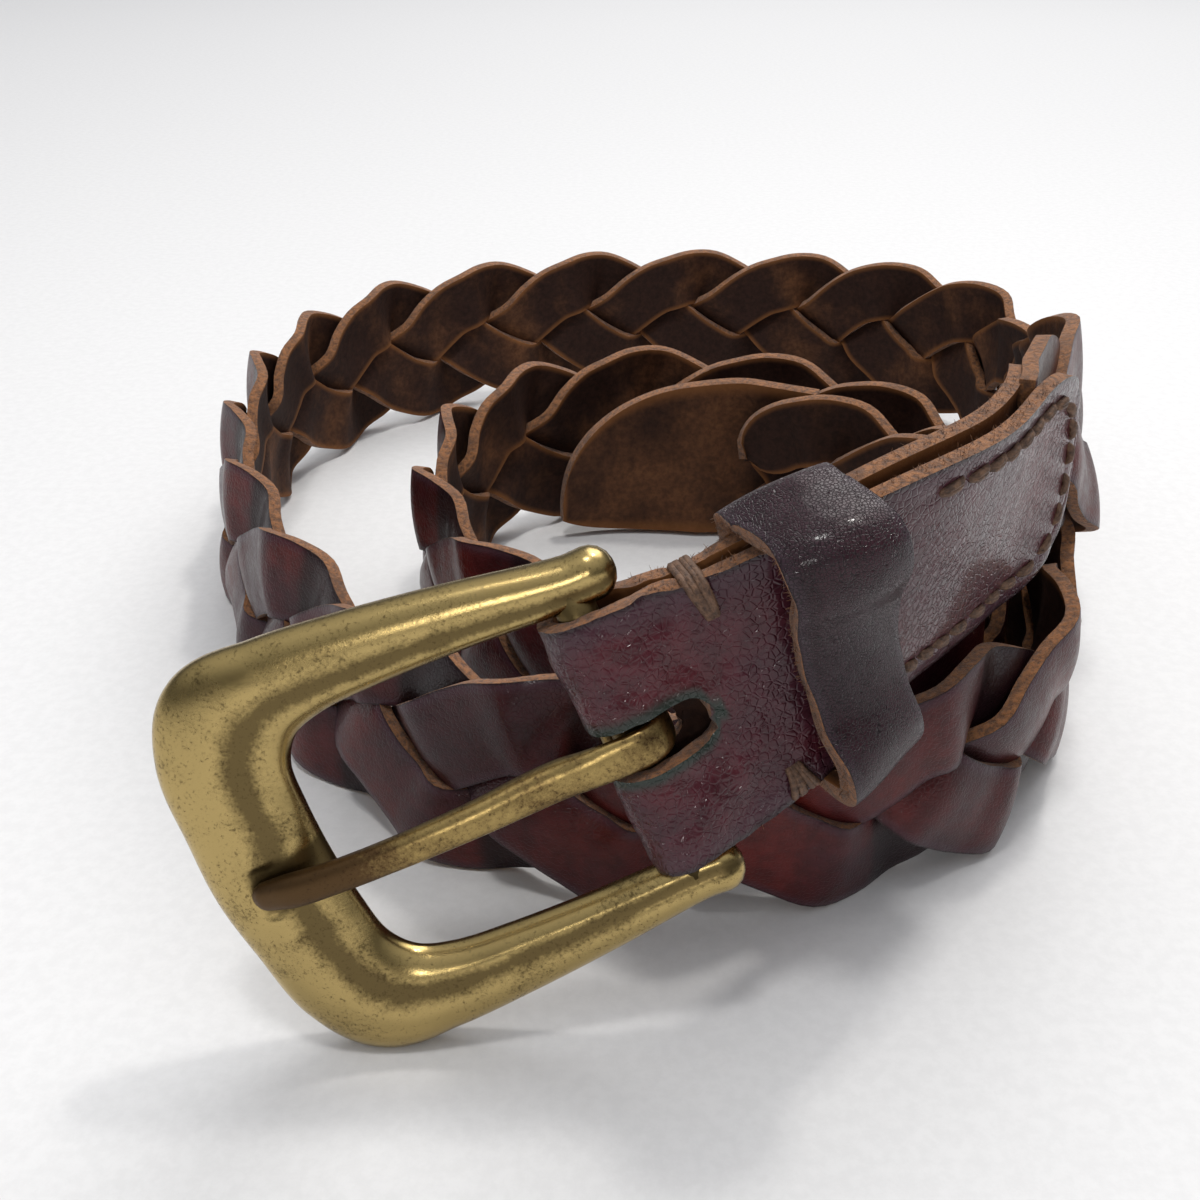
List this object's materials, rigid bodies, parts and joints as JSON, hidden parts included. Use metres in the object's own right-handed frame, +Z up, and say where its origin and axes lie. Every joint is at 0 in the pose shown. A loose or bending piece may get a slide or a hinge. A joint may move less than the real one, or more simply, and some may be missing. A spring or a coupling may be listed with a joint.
{
  "type": "braided leather belt",
  "caption": "Braided leather belt with a solid brass frame buckle, standing coiled on its edge with its tail tip inside the coil.",
  "frame": {"origin": "middle of the bounding box's foot, on the surface that the coil stands on", "axes": "+Z up, across the belt's width; +Y from the buckle's side of the coil to its back; +X to the right when the buckle is in front"},
  "size_m": [0.1614, 0.2128, 0.0687],
  "materials": {
    "strap_upper": "dark oxblood leather, pared edges",
    "strap_lower": "dark oxblood leather, pared edges",
    "strap_middle": "dark oxblood leather, pared edges",
    "tail_tip": "rough flesh side, tan cut edge",
    "tab": "glossy creased grain, tan cut edges, waxed thread",
    "keeper": "finely pebbled grain, tan cut edge",
    "buckle_frame": "satin, patinated with dark spots",
    "prong": "satin, darkened towards its tip"
  },
  "bodies": {
    "belt": {"strap_upper": "strap_upper", "strap_lower": "strap_lower", "strap_middle": "strap_middle", "tail_tip": "tail_tip", "tab": "tab", "keeper": "keeper"},
    "frame": {"buckle_frame": "buckle_frame"},
    "prong": {"prong": "prong"}
  },
  "joints": [
    {"name": "frame_swing", "type": "hinge", "parent": "belt", "child": "frame", "pos_m": [-0.00548, -0.09654, 0.03837], "axis": [-0.3828, 0.141, 0.913], "range_deg": [-20, 60]},
    {"name": "prong_swing", "type": "hinge", "parent": "frame", "child": "prong", "pos_m": [-0.00548, -0.09654, 0.03837], "axis": [-0.3828, 0.141, 0.913], "range_deg": [0, 60]}
  ]
}
